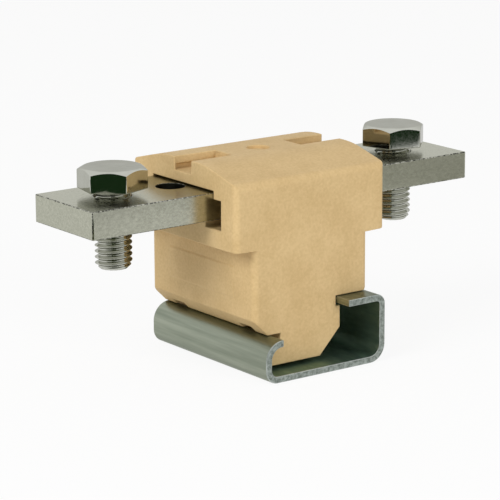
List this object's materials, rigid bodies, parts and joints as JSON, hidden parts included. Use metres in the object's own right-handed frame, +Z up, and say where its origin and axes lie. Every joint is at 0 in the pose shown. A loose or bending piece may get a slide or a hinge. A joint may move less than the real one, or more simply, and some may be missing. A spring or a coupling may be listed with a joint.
{
  "type": "feed-through terminal block",
  "caption": "Insulated block clipped on a G-section rail, with a flat current bar through its head and a hexagon clamping bolt at each end for cable lugs.",
  "frame": {"origin": "underside of the rail, below the middle of the bar and of the housing", "axes": "+X along the current bar towards the rail's tall side, +Y along the rail towards its flush end, +Z up"},
  "size_m": [0.1, 0.0424, 0.0462],
  "materials": {
    "zinc_plated_rail": "passivated zinc, satin",
    "moulded_housing": "moulded, matt",
    "plated_bar": "nickel plated, satin",
    "plated_bolt": "bright plated"
  },
  "bodies": {
    "block": {"mounting_rail": "zinc_plated_rail", "housing": "moulded_housing", "current_bar": "plated_bar", "bar_fixing_screw": "plated_bolt"},
    "left_clamp": {"left_bolt": "plated_bolt"},
    "right_clamp": {"right_bolt": "plated_bolt"}
  },
  "joints": [
    {"name": "left_clamp_travel", "type": "slide", "parent": "block", "child": "left_clamp", "axis": [0, 0, 1], "range_m": [-0.0015, 0.009]},
    {"name": "right_clamp_travel", "type": "slide", "parent": "block", "child": "right_clamp", "axis": [0, 0, 1], "range_m": [-0.0015, 0.009]}
  ]
}
